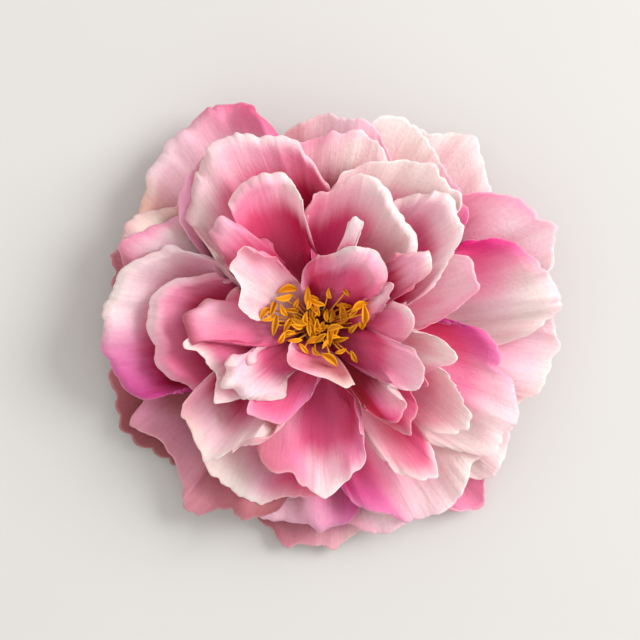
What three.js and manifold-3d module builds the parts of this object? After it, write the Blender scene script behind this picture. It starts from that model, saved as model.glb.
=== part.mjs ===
// A cut double peony, open and face up, resting on its outer petals.
// Millimetres, +Z up. The flower's axis is built at X = Y = 0, and the finished flower is moved so
// that the middle of its outline lies over the origin, with the table at Z = 0.
import * as THREE from "three";
import { mergeVertices } from "three/addons/utils/BufferGeometryUtils.js";
import Module from "manifold-3d";

const wasm = await Module();
wasm.setup();

// ---- driving dimensions ----
const BLOOM_RADIUS = 83; // what a petal reach of 100 means
const BLOOM_HEIGHT = 70; // what a petal rise or cup of 100 means
const PETAL_THICKNESS = 0.5;
const PETAL_CLEARANCE = 0.3; // air between two petals that lie on each other
const PETAL_BASE_WIDTH = 4.2; // the narrow claw by which a petal grows from the receptacle
const SEAT_GAP = 0.3; // between a piece and the receptacle that it grows from
const RECEPTACLE_RADIUS = 6;
const RECEPTACLE_RIM = 0.6; // bevel round the top of the receptacle
const CALYX_HEIGHT = 5; // where the stem has widened to the full receptacle
const STEM_RADIUS = 3.2;
const STEM_STUB = 2; // what is left of the stem below the flower
const LOWEST_SEAT = 6; // height at which the first petal grows
const SEAT_STEP = 0.22; // how much higher each next petal grows, before it is laid
const SEPAL_THICKNESS = 0.9;
const SEPAL_REACH = 27; // hundredths of the bloom's radius
const FASCICLE_HEIGHT = 1.2; // the fleshy pads that the stamens grow from
const FASCICLE_RADIUS = 5;
const FASCICLE_HOLE = 0.8;
const FILAMENT_DIAMETER = 0.55;
const ANTHER_LENGTH = 4.6;
const ANTHER_WIDTH = 1.9;
const ANTHER_THICKNESS = 1.1;

// ---- how the pile of petals is worked out ----
const PITCH = 0.2; // spacing of the height samples
const LAYING_ROUNDS = 60;
const SLACK = 0.004; // a shortfall smaller than this counts as clear
const WIDEST_COLUMN = 7; // along a rim, before an extra ray of points goes in
const STEEPEST = 2; // most that a slope adds to a thickness measured straight up
const SPREAD = 0.82; // share of a neighbour's lift that a point follows
const SPREAD_PASSES = 4;

const radians = (degrees) => (degrees * Math.PI) / 180;
const lerp = (a, b, t) => a + (b - a) * t;

// The top of everything laid so far, seen from above and sampled on a square grid. Each surface is
// laid one sample wider than it is, so that what comes next clears its edges too.
class Pile {
  constructor(radius) {
    this.half = Math.ceil(radius / PITCH) + 4;
    this.side = 2 * this.half + 1;
    this.top = new Float32Array(this.side * this.side).fill(-PETAL_CLEARANCE);
  }

  // calls visit(column, row, share of a, share of b, share of c) for each sample inside a triangle
  samples(a, b, c, visit) {
    const twiceArea = (b.x - a.x) * (c.y - a.y) - (b.y - a.y) * (c.x - a.x);
    if (Math.abs(twiceArea) < 1e-9) return;
    const column0 = Math.ceil(Math.min(a.x, b.x, c.x) / PITCH);
    const column1 = Math.floor(Math.max(a.x, b.x, c.x) / PITCH);
    const row0 = Math.ceil(Math.min(a.y, b.y, c.y) / PITCH);
    const row1 = Math.floor(Math.max(a.y, b.y, c.y) / PITCH);
    for (let row = row0; row <= row1; row += 1) {
      for (let column = column0; column <= column1; column += 1) {
        const x = column * PITCH;
        const y = row * PITCH;
        const shareB = ((x - a.x) * (c.y - a.y) - (y - a.y) * (c.x - a.x)) / twiceArea;
        const shareC = ((b.x - a.x) * (y - a.y) - (b.y - a.y) * (x - a.x)) / twiceArea;
        const shareA = 1 - shareB - shareC;
        if (shareA >= 0 && shareB >= 0 && shareC >= 0) visit(column, row, shareA, shareB, shareC);
      }
    }
  }

  index(column, row) {
    return (row + this.half) * this.side + column + this.half;
  }

  lay(a, b, c) {
    this.samples(a, b, c, (column, row, shareA, shareB, shareC) => {
      const height = a.z * shareA + b.z * shareB + c.z * shareC;
      for (let i = -1; i <= 1; i += 1) {
        for (let j = -1; j <= 1; j += 1) {
          const here = this.index(column + i, row + j);
          if (height > this.top[here]) this.top[here] = height;
        }
      }
    });
  }
}

// ---- a petal or sepal: a thin sheet of rays that fan out from its claw to its rim ----

// reach of the rim at a direction, on a smooth curve through the rim's points
function reachAt(rim, segment, t) {
  const point = (i) => rim[Math.min(Math.max(i, 0), rim.length - 1)];
  const slope = (i) => {
    const [before, after] = [point(i - 1), point(i + 1)];
    return (after[1] - before[1]) / (after[0] - before[0]);
  };
  const [from, to] = [point(segment), point(segment + 1)];
  const span = to[0] - from[0];
  const hermite = new THREE.CubicBezierCurve(
    new THREE.Vector2(from[0], from[1]),
    new THREE.Vector2(from[0] + span / 3, from[1] + (slope(segment) * span) / 3),
    new THREE.Vector2(to[0] - span / 3, to[1] - (slope(segment + 1) * span) / 3),
    new THREE.Vector2(to[0], to[1]),
  );
  return hermite.getPoint(t).y;
}

// height of the rim along its length, on a parabola through its start, middle and end; where the
// rim does not reach as far as elsewhere it also rises less
const riseAt = ([start, middle, end], t) =>
  start * (1 - t) * (1 - 2 * t) + 4 * middle * t * (1 - t) + end * t * (2 * t - 1);

// places along the rim, in segments from its start, where the rays of points end
function rayStops(rim) {
  const stops = [0];
  for (let segment = 0; segment < rim.length - 1; segment += 1) {
    const [from, to] = [rim[segment], rim[segment + 1]];
    const along = radians(to[0] - from[0]) * (to[1] / 100) * BLOOM_RADIUS;
    const across = ((to[1] - from[1]) / 100) * BLOOM_RADIUS;
    if (Math.hypot(along, across) > WIDEST_COLUMN) stops.push(segment + 0.5);
    stops.push(segment + 1);
  }
  return stops;
}

// the grid of points of one sheet, before it is laid on the pile
function sheetGrid({ rim, rise, cup, claw, seat, rows }) {
  const stops = rayStops(rim);
  const columns = stops.length - 1;
  const seatRadius = RECEPTACLE_RADIUS + SEAT_GAP;
  const clawMiddle = claw ?? (rim[0][0] + rim[rim.length - 1][0]) / 2;
  const clawTurn = (PETAL_BASE_WIDTH / seatRadius) * (180 / Math.PI);
  const longest = Math.max(...rim.map(([, reach]) => reach));
  const points = [];
  for (let s = 0; s <= columns; s += 1) {
    const segment = Math.min(Math.floor(stops[s]), rim.length - 2);
    const within = stops[s] - segment;
    const direction = radians(lerp(rim[segment][0], rim[segment + 1][0], within));
    const reach = (reachAt(rim, segment, within) / 100) * BLOOM_RADIUS;
    const full = (riseAt(rise, stops[s] / (rim.length - 1)) / 100) * BLOOM_HEIGHT;
    const height = lerp(seat, full, reach / ((longest / 100) * BLOOM_RADIUS));
    const from = radians(clawMiddle + clawTurn * (s / columns - 0.5));
    for (let u = 0; u <= rows; u += 1) {
      const out = u / rows;
      const dip = 4 * out * (1 - out) * (cup / 100) * BLOOM_HEIGHT;
      points.push(new THREE.Vector3(
        lerp(seatRadius * Math.cos(from), reach * Math.cos(direction), out),
        lerp(seatRadius * Math.sin(from), reach * Math.sin(direction), out),
        lerp(seat, height, out) - dip,
      ));
    }
  }
  return { points, columns, rows };
}

// the grid's triangles, with each corner cell cut towards the middle of the sheet
function gridTriangles({ columns, rows }) {
  const at = (s, u) => s * (rows + 1) + u;
  const triangles = [];
  for (let s = 0; s < columns; s += 1) {
    for (let u = 0; u < rows; u += 1) {
      const [a, b, c, d] = [at(s, u), at(s, u + 1), at(s + 1, u + 1), at(s + 1, u)];
      const [leftHalf, clawHalf] = [s < columns / 2, u < Math.ceil(rows / 2)];
      if (leftHalf === clawHalf) triangles.push([a, b, c], [a, c, d]);
      else triangles.push([a, b, d], [b, c, d]);
    }
  }
  return triangles;
}

// half the thickness measured straight up at each point, and nothing round the sheet's edge
function halfThickness(grid, triangles, thickness) {
  const normals = grid.points.map(() => new THREE.Vector3());
  for (const corners of triangles) {
    const [a, b, c] = corners.map((i) => grid.points[i]);
    const normal = new THREE.Vector3().subVectors(b, a).cross(new THREE.Vector3().subVectors(c, a));
    for (const i of corners) normals[i].add(normal);
  }
  return grid.points.map((_, i) => {
    const s = Math.floor(i / (grid.rows + 1));
    const u = i % (grid.rows + 1);
    if (s === 0 || s === grid.columns || u === 0 || u === grid.rows) return 0;
    const upright = Math.abs(normals[i].z) / normals[i].length();
    return (thickness / 2) * Math.min(1 / upright, STEEPEST);
  });
}

// lets each point but the claw's follow its neighbours' lift, so that a raised place has gentle sides
function spreadLift(lift, { columns, rows }) {
  const at = (s, u) => s * (rows + 1) + u;
  for (let pass = 0; pass < SPREAD_PASSES; pass += 1) {
    const before = Float64Array.from(lift);
    for (let s = 0; s <= columns; s += 1) {
      for (let u = 1; u <= rows; u += 1) {
        const near = [before[at(s, u - 1)]];
        if (s > 0) near.push(before[at(s - 1, u)]);
        if (s < columns) near.push(before[at(s + 1, u)]);
        if (u < rows) near.push(before[at(s, u + 1)]);
        const mean = near.reduce((sum, value) => sum + value, 0) / near.length;
        lift[at(s, u)] = Math.max(lift[at(s, u)], SPREAD * mean);
      }
    }
  }
}

// raises the sheet until its underside clears everything already in the pile
function layOnPile(grid, triangles, thickness, pile) {
  let half = halfThickness(grid, triangles, thickness);
  for (let round = 0; round < LAYING_ROUNDS; round += 1) {
    const lift = new Float64Array(grid.points.length);
    let worst = 0;
    for (const [i, j, k] of triangles) {
      const [a, b, c] = [grid.points[i], grid.points[j], grid.points[k]];
      pile.samples(a, b, c, (column, row, shareA, shareB, shareC) => {
        const under = (a.z - half[i]) * shareA + (b.z - half[j]) * shareB + (c.z - half[k]) * shareC;
        const short = pile.top[pile.index(column, row)] + PETAL_CLEARANCE - under;
        if (short <= SLACK) return;
        worst = Math.max(worst, short);
        const scale = short / (shareA * shareA + shareB * shareB + shareC * shareC);
        lift[i] = Math.max(lift[i], scale * shareA);
        lift[j] = Math.max(lift[j], scale * shareB);
        lift[k] = Math.max(lift[k], scale * shareC);
      });
    }
    if (worst === 0) break;
    spreadLift(lift, grid);
    grid.points.forEach((point, i) => { point.z += lift[i]; });
    half = halfThickness(grid, triangles, thickness);
  }
  return half;
}

// closes the sheet: an upper and a lower skin that meet all round the edge
function sheetGeometry(grid, triangles, half) {
  const upper = grid.points.map((p, i) => p.clone().setZ(p.z + half[i]));
  const lower = grid.points.map((p, i) => p.clone().setZ(p.z - half[i]));
  const below = half.map((value, i) => (value === 0 ? i : i + upper.length));
  const faces = [];
  for (const [a, b, c] of triangles) {
    faces.push(a, b, c);
    faces.push(below[a], below[c], below[b]);
  }
  const geometry = new THREE.BufferGeometry();
  geometry.setFromPoints([...upper, ...lower]);
  geometry.setIndex(faces);
  return facetedCopy(geometry);
}

// keeps only the points that faces use, with flat faces
function facetedCopy(geometry) {
  const flat = geometry.index ? geometry.toNonIndexed() : geometry;
  flat.computeVertexNormals();
  return flat;
}

function buildSheet(shape, thickness, pile) {
  const grid = sheetGrid(shape);
  const triangles = gridTriangles(grid);
  const half = layOnPile(grid, triangles, thickness, pile);
  for (const [i, j, k] of triangles) {
    const [a, b, c] = [i, j, k].map((n) => grid.points[n].clone().setZ(grid.points[n].z + half[n]));
    pile.lay(a, b, c);
  }
  const foot = grid.points.filter((_, i) => i % (grid.rows + 1) === 0).map((p) => p.z);
  return { geometry: sheetGeometry(grid, triangles, half), foot: Math.max(...foot) };
}

// ---- the petals, in the order in which they lie on each other ----
// petal(name, cup, [rise at the rim's start, middle, end], rim): the rim runs anticlockwise as
// [direction in degrees, reach]; reach, rise and cup are hundredths of the bloom's radius and height.
// A cup is how far the middle of the petal dips under a straight line from claw to rim.
const petal = (name, cup, rise, rim, claw) => ({ name, cup, rise, rim, claw });

const PETALS = [
  // guard petals: the wide outer ring, resting on the table
  petal("guard_petal_1", 8, [12, 9, 12], [[245, 68], [253, 83], [257, 86], [262, 93], [266, 90],
    [270, 91], [274, 93], [279, 88], [283, 84], [291, 70]]),
  petal("guard_petal_2", 10, [10, 10, 16], [[297, 76], [304, 90], [307, 96], [311, 100], [314, 98],
    [318, 91], [325, 76]]),
  petal("guard_petal_3", 8, [18, 11, 13], [[184, 72], [193, 87], [198, 88], [203, 90], [208, 91],
    [213, 89], [218, 85], [224, 81], [232, 66]]),
  petal("guard_petal_4", 8, [22, 16, 18], [[28, 74], [37, 88], [41, 92], [45, 96], [50, 99],
    [55, 96], [60, 91], [64, 88], [72, 74]]),
  petal("guard_petal_5", 6, [20, 16, 20], [[149, 70], [157, 84], [161, 88], [165, 85], [168, 86],
    [171, 84], [175, 79], [181, 66]]),
  petal("guard_petal_6", 8, [14, 16, 20], [[308, 76], [317, 92], [320, 95], [323, 93], [328, 90],
    [334, 87], [340, 86], [347, 72]]),
  petal("guard_petal_7", 10, [16, 14, 18], [[267, 64], [276, 78], [280, 82], [285, 88], [289, 90],
    [295, 88], [302, 74]]),
  petal("guard_petal_8", 10, [22, 18, 24], [[245, 66], [254, 80], [260, 80], [266, 82], [272, 83],
    [276, 80], [279, 76], [282, 68], [288, 54]]),
  petal("guard_petal_9", 10, [26, 18, 22], [[198, 64], [204, 78], [208, 85], [212, 83], [218, 80],
    [225, 81], [230, 85], [234, 92], [238, 91], [243, 84], [249, 83], [254, 81], [259, 74],
    [264, 60]]),
  petal("guard_petal_10", 10, [22, 21, 26], [[328, 70], [335, 85], [339, 87], [343, 93], [348, 94],
    [354, 98], [359, 97], [364, 93], [370, 78]]),
  petal("guard_petal_11", 10, [32, 28, 32], [[7, 80], [14, 95], [18, 99], [23, 102], [27, 98],
    [31, 96], [36, 90], [40, 82], [47, 66]]),
  petal("guard_petal_12", 10, [40, 32, 32], [[28, 60], [36, 74], [42, 77], [48, 79], [53, 82],
    [58, 85], [64, 88], [70, 88], [75, 84], [80, 70]]),
  petal("guard_petal_13", 10, [32, 28, 30], [[61, 60], [68, 75], [72, 80], [76, 84], [82, 84],
    [87, 85], [92, 83], [98, 79], [103, 74], [109, 60]]),
  petal("guard_petal_14", 12, [34, 28, 32], [[93, 62], [101, 75], [104, 84], [109, 92], [114, 96],
    [120, 96], [124, 94], [129, 95], [135, 91], [141, 87], [147, 82], [153, 66]]),
  petal("guard_petal_15", 8, [34, 30, 32], [[130, 60], [138, 74], [143, 78], [148, 84], [154, 87],
    [159, 84], [165, 70]]),
  petal("guard_petal_16", 12, [30, 32, 40], [[-6, 76], [1, 92], [5, 98], [9, 95], [14, 93],
    [18, 90], [22, 87], [26, 78], [29, 68], [35, 50]]),
  petal("guard_petal_17", 10, [38, 34, 36], [[134, 56], [141, 68], [146, 74], [151, 79], [157, 84],
    [161, 83], [165, 80], [171, 66]]),
  // middle petals: deep cups that overlap the guard ring
  petal("middle_petal_1", 7, [32, 26, 38], [[272, 52], [278, 64], [281, 72], [285, 76], [290, 80],
    [295, 89], [299, 88], [306, 90], [312, 88], [317, 84], [322, 84], [328, 80], [335, 64]]),
  petal("middle_petal_2", 6, [36, 30, 40], [[223, 56], [229, 69], [235, 72], [240, 74], [247, 76],
    [252, 75], [257, 72], [264, 69], [270, 67], [277, 52]]),
  petal("middle_petal_3", 7, [36, 38, 48], [[312, 60], [318, 75], [322, 84], [328, 86], [333, 85],
    [338, 83], [343, 81], [348, 75], [353, 72], [357, 68], [360, 58], [362, 46]]),
  petal("middle_petal_4", 6, [44, 42, 44], [[60, 56], [66, 69], [71, 75], [76, 78], [82, 77],
    [86, 77], [90, 74], [94, 73], [98, 72], [104, 58]]),
  petal("middle_petal_5", 6, [46, 42, 46], [[117, 64], [123, 78], [128, 79], [133, 77], [139, 74],
    [143, 68], [147, 58], [152, 44]]),
  petal("middle_petal_6", 8, [46, 40, 36], [[143, 36], [149, 52], [154, 65], [160, 72], [166, 78],
    [172, 80], [176, 83], [181, 82], [186, 85], [192, 82], [199, 79], [204, 68], [208, 50]]),
  petal("middle_petal_7", 7, [50, 46, 42], [[150, 34], [158, 47], [164, 57], [169, 64], [175, 67],
    [181, 67], [186, 64], [192, 64], [198, 61], [203, 55], [209, 40]]),
  petal("middle_petal_8", 7, [54, 54, 50], [[80, 42], [84, 52], [88, 59], [93, 66], [98, 72],
    [104, 74], [109, 78], [114, 80], [120, 80], [125, 77], [130, 73], [136, 69], [141, 62],
    [145, 50]]),
  petal("middle_petal_9", 6, [42, 46, 50], [[290, 34], [294, 50], [297, 61], [301, 70], [306, 75],
    [310, 75], [313, 70], [315, 61], [319, 65], [324, 69], [328, 68], [333, 63], [338, 56],
    [343, 42]]),
  petal("middle_petal_10", 6, [60, 58, 60], [[35, 58], [41, 73], [46, 75], [52, 75], [57, 74],
    [62, 73], [66, 69], [73, 66], [78, 62], [83, 55], [89, 44]]),
  petal("middle_petal_11", 5, [46, 50, 54], [[354, 26], [359, 41], [364, 50], [369, 58], [373, 64],
    [378, 64], [383, 65], [387, 60], [392, 46]]),
  petal("middle_petal_12", 8, [46, 50, 52], [[238, 42], [243, 52], [248, 58], [254, 60], [260, 57],
    [264, 61], [268, 65], [272, 68], [276, 65], [283, 61], [288, 56], [292, 46], [297, 32]]),
  petal("middle_petal_13", 6, [46, 40, 48], [[204, 44], [210, 60], [213, 66], [217, 64], [222, 67],
    [228, 69], [232, 68], [236, 61], [242, 52], [247, 45], [253, 34]]),
  petal("middle_petal_14", 8, [62, 64, 66], [[9, 22], [14, 36], [19, 48], [24, 56], [29, 63],
    [34, 69], [39, 70], [44, 70], [48, 66], [53, 56], [59, 42]]),
  petal("middle_petal_15", 9, [62, 68, 66], [[35, 32], [40, 43], [45, 49], [50, 50], [56, 52],
    [61, 54], [66, 58], [72, 60], [78, 58], [82, 54], [86, 51], [91, 50], [95, 44], [99, 32]]),
  petal("middle_petal_16", 7, [66, 68, 60], [[94, 26], [97, 42], [101, 56], [107, 62], [113, 64],
    [120, 64], [127, 61]], 104),
  petal("middle_petal_17", 6, [52, 54, 56], [[325, 32], [331, 48], [336, 46], [341, 49], [346, 54],
    [350, 53], [354, 47], [358, 34]]),
  // inner petals: narrower, ruffled, round the stamens
  petal("inner_petal_1", -1, [50, 50, 52], [[300, 36], [306, 50], [310, 56], [315, 52], [320, 50],
    [325, 44]], 306),
  petal("inner_petal_2", -1, [50, 50, 54], [[222, 26], [227, 38], [231, 44], [237, 44], [243, 43],
    [250, 41], [256, 35], [263, 29], [271, 20]], 256),
  petal("inner_petal_3", -1, [52, 50, 50], [[178, 38], [185, 50], [190, 52], [195, 50], [201, 46],
    [206, 44], [212, 48], [218, 48], [224, 42], [230, 30]]),
  petal("inner_petal_4", 0, [56, 56, 56], [[196, 22], [201, 33], [207, 39], [214, 41], [221, 41],
    [227, 39], [233, 32], [240, 22]]),
  petal("inner_petal_5", 0, [58, 56, 54], [[161, 22], [165, 37], [170, 46], [175, 51], [181, 50],
    [187, 48], [192, 43], [197, 32]], 182),
  petal("inner_petal_6", -1, [62, 60, 60], [[122, 32], [126, 45], [131, 52], [137, 53], [142, 49],
    [147, 36]]),
  petal("inner_petal_7", 0, [52, 54, 56], [[297, 28], [301, 40], [306, 47], [312, 48], [318, 45],
    [322, 36]]),
  petal("inner_petal_8", 0, [60, 62, 62], [[343, 24], [347, 32], [353, 35], [359, 37], [366, 37],
    [371, 35], [375, 28], [380, 18]]),
  petal("inner_petal_9", 0, [56, 60, 60], [[316, 26], [320, 37], [325, 44], [331, 45], [337, 43],
    [343, 40], [347, 34], [351, 24]]),
  petal("inner_petal_10", -1, [64, 62, 60], [[124, 26], [128, 35], [132, 41], [138, 42], [144, 42],
    [150, 34], [156, 31], [162, 22]]),
  // centre petals: the small curled ones at the heart
  petal("centre_petal_1", -3, [66, 68, 68], [[19, 30], [23, 42], [28, 50], [33, 50], [38, 44],
    [43, 30]]),
  petal("centre_petal_2", -3, [60, 62, 60], [[10, 14], [17, 24], [22, 31], [28, 36], [33, 32],
    [37, 27], [44, 27], [50, 18]]),
  petal("centre_petal_3", -3, [68, 72, 66], [[33, 22], [40, 32], [47, 35], [54, 36], [61, 34],
    [68, 31], [76, 29], [84, 25], [93, 18]]),
  petal("centre_petal_4", -3, [56, 58, 58], [[226, 12], [237, 20], [249, 20], [262, 20], [276, 20],
    [287, 22], [296, 22]], 258),
  petal("centre_petal_5", -3, [74, 78, 78], [[62, 30], [65, 42], [69, 44], [73, 42], [76, 30]], 66),
];

const SMALL_REACH = 56; // a petal that never reaches this far has one row of points less
const rowsOf = ({ rim }) => (Math.max(...rim.map(([, reach]) => reach)) < SMALL_REACH ? 3 : 4);

// ---- sepals: five green leaves of the calyx, under the guard petals ----
const SEPAL_DIRECTIONS = [20, 92, 164, 236, 308];
const SEPAL_RISE = [9, 6, 9];
const SEPAL_CUP = 1;
const SEPAL_OUTLINE = [[-30, 0.6], [-17, 0.88], [0, 1], [17, 0.88], [30, 0.6]];

const sepal = (direction, index) => ({
  name: `sepal_${index + 1}`,
  cup: SEPAL_CUP,
  rise: SEPAL_RISE,
  rim: SEPAL_OUTLINE.map(([turn, share]) => [direction + turn, SEPAL_REACH * share]),
  seat: CALYX_HEIGHT + SEAT_GAP,
  rows: 3,
});

// ---- stamens: five fascicles, each a fleshy pad with its filaments and anthers ----
// Each stamen is [direction in degrees, reach in hundredths of the bloom's radius, twist in degrees].
// The last fascicle is laid last, so only its stamens lean in over the middle.
const STAMEN_RISE = 42; // hundredths of the bloom's height, at the flower's axis
const STAMEN_DROOP = 0.5; // how much lower a stamen ends for each hundredth of reach
const STAMEN_CLEARANCE = 0.2;
const FASCICLE_GAP = 0.4; // between two pads
const FOOT_INSET = 10; // degrees that a filament's foot keeps from the sides of its pad
const FOOT_INNER = 0.45; // where the feet stand, in shares of the pad's radius
const FOOT_OUTER = 0.8;
const OUTER_REACH = 20; // a stamen that reaches this far or further stands on the outside

const FASCICLES = [
  { from: 44, to: 116, stamens: [[50, 17, 80], [72, 13, 30], [100, 11, 60], [110, 12, -20]] },
  { from: 116, to: 188, stamens: [[130, 19, 60], [137, 12, -70], [142, 17, 50], [151, 12, 20],
    [158, 15, -40], [161, 19, 90], [167, 22, 60], [174, 20, 30], [180, 17, 80], [179, 12, 60]] },
  { from: 188, to: 260, stamens: [[194, 12, 0], [200, 15, 40], [214, 11, -30], [240, 11, 70]] },
  { from: 260, to: 332, stamens: [[264, 11, 50], [291, 14, 30], [311, 14, 70], [318, 19, -20],
    [329, 11, 40]] },
  { from: 332, to: 404, stamens: [[356, 14, 50], [5, 18, 60], [12, 11, 20], [14, 19, 80], [20, 15, 30],
    [26, 11, 70], [26, 18, 0], [36, 13, -40], [345, 7, 80], [33, 7, 50], [97, 6, 40], [150, 6, -60],
    [166, 8, -50], [206, 4, 70], [279, 5, -60]] },
];

function toSolid(geometry) {
  const bare = geometry.clone();
  bare.deleteAttribute("normal");
  bare.deleteAttribute("uv");
  const merged = mergeVertices(bare);
  return new wasm.Manifold(new wasm.Mesh({
    numProp: 3,
    vertProperties: Float32Array.from(merged.attributes.position.array),
    triVerts: Uint32Array.from(merged.index.array),
  }));
}

function fromSolid(solid) {
  const mesh = solid.getMesh();
  const geometry = new THREE.BufferGeometry();
  geometry.setAttribute("position", new THREE.BufferAttribute(mesh.vertProperties, 3));
  geometry.setIndex(new THREE.BufferAttribute(mesh.triVerts, 1));
  return facetedCopy(geometry);
}

function trianglesOf(geometry) {
  const flat = geometry.index ? geometry.toNonIndexed() : geometry;
  const position = flat.attributes.position;
  const corner = (i) => new THREE.Vector3().fromBufferAttribute(position, i);
  const triangles = [];
  for (let i = 0; i < position.count; i += 3) triangles.push([corner(i), corner(i + 1), corner(i + 2)]);
  return triangles;
}

// a slice of a flat ring, on top of the receptacle
function fasciclePad({ from, to }, floor) {
  const margin = (radius) => FASCICLE_GAP / 2 / radius;
  const outline = new THREE.Shape();
  outline.absarc(0, 0, FASCICLE_RADIUS, radians(from) + margin(FASCICLE_RADIUS),
    radians(to) - margin(FASCICLE_RADIUS), false);
  outline.absarc(0, 0, FASCICLE_HOLE, radians(to) - margin(FASCICLE_HOLE),
    radians(from) + margin(FASCICLE_HOLE), true);
  const pad = new THREE.ExtrudeGeometry(outline, {
    depth: FASCICLE_HEIGHT, bevelEnabled: false, curveSegments: 5,
  });
  return pad.translate(0, 0, floor);
}

// the filament's path: steep at first, then leaning out over the petals
function filamentPoints([direction, reach], { from, to }, floor) {
  const footTurn = radians(Math.min(Math.max(direction, from + FOOT_INSET), to - FOOT_INSET));
  const outward = Math.min(reach / OUTER_REACH, 1);
  const footRadius = lerp(FOOT_INNER, FOOT_OUTER, outward) * FASCICLE_RADIUS;
  const out = (reach / 100) * BLOOM_RADIUS;
  const rise = ((STAMEN_RISE - STAMEN_DROOP * reach) / 100) * BLOOM_HEIGHT;
  const foot = new THREE.Vector3(footRadius * Math.cos(footTurn), footRadius * Math.sin(footTurn),
    floor + FASCICLE_HEIGHT / 2);
  const tip = new THREE.Vector3(out * Math.cos(radians(direction)), out * Math.sin(radians(direction)),
    Math.max(rise, foot.z + ANTHER_LENGTH));
  const points = [foot];
  for (const t of [0.25, 0.5, 0.75, 1]) {
    const point = new THREE.Vector3().lerpVectors(foot, tip, t * (0.6 + 0.4 * t));
    points.push(point.setZ(lerp(foot.z, tip.z, Math.sqrt(t))));
  }
  return points;
}

function stamenPieces(points, turn) {
  const path = new THREE.CatmullRomCurve3(points, false, "centripetal");
  const section = new THREE.Shape(
    [90, 210, 330].map((side) => new THREE.Vector2(
      (FILAMENT_DIAMETER / 2) * Math.cos(radians(side)),
      (FILAMENT_DIAMETER / 2) * Math.sin(radians(side)),
    )),
  );
  const filament = new THREE.ExtrudeGeometry(section, { steps: 4, extrudePath: path });
  const anther = new THREE.SphereGeometry(1, 6, 3);
  anther.scale(ANTHER_LENGTH / 2, ANTHER_WIDTH / 2, ANTHER_THICKNESS / 2);
  anther.rotateZ(turn);
  anther.translate(...points[points.length - 1].toArray());
  return [filament, anther];
}

// raises a stamen, all but its foot, until it clears everything already in the pile
function layStamen(stamen, fascicle, floor, pile) {
  const [direction, , twist] = stamen;
  const points = filamentPoints(stamen, fascicle, floor);
  for (let round = 0; round < LAYING_ROUNDS; round += 1) {
    const pieces = stamenPieces(points, radians(direction + twist));
    let short = 0;
    for (const [a, b, c] of pieces.flatMap(trianglesOf)) {
      pile.samples(a, b, c, (column, row, shareA, shareB, shareC) => {
        const height = a.z * shareA + b.z * shareB + c.z * shareC;
        if (height < floor + FASCICLE_HEIGHT) return;
        short = Math.max(short, pile.top[pile.index(column, row)] + STAMEN_CLEARANCE - height);
      });
    }
    if (short <= SLACK) return pieces;
    points.slice(1).forEach((point) => { point.z += short; });
  }
  throw new Error("a stamen finds no way up");
}

function buildFascicle(fascicle, floor, pile) {
  let solid = toSolid(fasciclePad(fascicle, floor));
  for (const stamen of fascicle.stamens) {
    for (const piece of layStamen(stamen, fascicle, floor, pile)) solid = solid.add(toSolid(piece));
  }
  const geometry = fromSolid(solid);
  for (const [a, b, c] of trianglesOf(geometry)) pile.lay(a, b, c);
  return geometry;
}

// ---- receptacle: the stub of stem, the calyx cup and the column that the petals grow from ----
function receptacleGeometry(top) {
  const profile = [
    [0, 0],
    [STEM_RADIUS, 0],
    [STEM_RADIUS, STEM_STUB],
    [lerp(STEM_RADIUS, RECEPTACLE_RADIUS, 0.6), lerp(STEM_STUB, CALYX_HEIGHT, 0.5)],
    [RECEPTACLE_RADIUS, CALYX_HEIGHT],
    [RECEPTACLE_RADIUS, top - RECEPTACLE_RIM],
    [RECEPTACLE_RADIUS - RECEPTACLE_RIM, top],
    [0, top],
  ];
  const lathe = new THREE.LatheGeometry(profile.map(([r, z]) => new THREE.Vector2(r, z)), 40);
  return lathe.rotateX(Math.PI / 2);
}

// ---- materials ----
const material = (name, color, roughness) =>
  Object.assign(new THREE.MeshStandardMaterial({ color, roughness, metalness: 0 }), { name });

const petalMaterial = (name) => {
  if (name.startsWith("guard")) return material("guard_petal", "#e6b6bb", 0.62);
  if (name.startsWith("middle")) return material("middle_petal", "#dd8fa4", 0.6);
  if (name.startsWith("inner")) return material("inner_petal", "#e7a3b1", 0.6);
  return material("centre_petal", "#d5718c", 0.6);
};
const sepalMaterial = () => material("sepal", "#6d8247", 0.7);
const receptacleMaterial = () => material("receptacle", "#7f9455", 0.7);
const stamenMaterial = () => material("stamen", "#d99a12", 0.75);

// ---- the flower, put together from the table up ----
function buildFlower() {
  const flower = new THREE.Group();
  const pile = new Pile(BLOOM_RADIUS * 1.1);
  const add = (name, geometry, finish) => {
    const mesh = new THREE.Mesh(geometry, finish);
    mesh.name = name;
    flower.add(mesh);
  };

  SEPAL_DIRECTIONS.map(sepal).forEach((shape) => {
    add(shape.name, buildSheet(shape, SEPAL_THICKNESS, pile).geometry, sepalMaterial());
  });
  let highestFoot = 0;
  PETALS.forEach((shape, index) => {
    const seated = { ...shape, seat: LOWEST_SEAT + SEAT_STEP * index, rows: rowsOf(shape) };
    const { geometry, foot } = buildSheet(seated, PETAL_THICKNESS, pile);
    highestFoot = Math.max(highestFoot, foot);
    add(shape.name, geometry, petalMaterial(shape.name));
  });

  const top = highestFoot + 2 * RECEPTACLE_RIM;
  add("receptacle", receptacleGeometry(top), receptacleMaterial());
  FASCICLES.forEach((fascicle, index) => {
    const geometry = buildFascicle(fascicle, top + SEAT_GAP, pile);
    add(`stamens_${index + 1}`, geometry, stamenMaterial());
  });
  return flower;
}

// moves the flower so that the middle of its outline is over the origin
const flower = buildFlower();
const box = new THREE.Box3().setFromObject(flower);
const middle = box.getCenter(new THREE.Vector3());
flower.position.set(-middle.x, -middle.y, -box.min.z);

export default flower;
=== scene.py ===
"""A cut double peony, open and face up, on a pale table.

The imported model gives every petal's outline, height and place. Each petal is grown here from its CAD
solid into a finely divided sheet with a ruffled rim, creases and painted colour.
"""
import math

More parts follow.
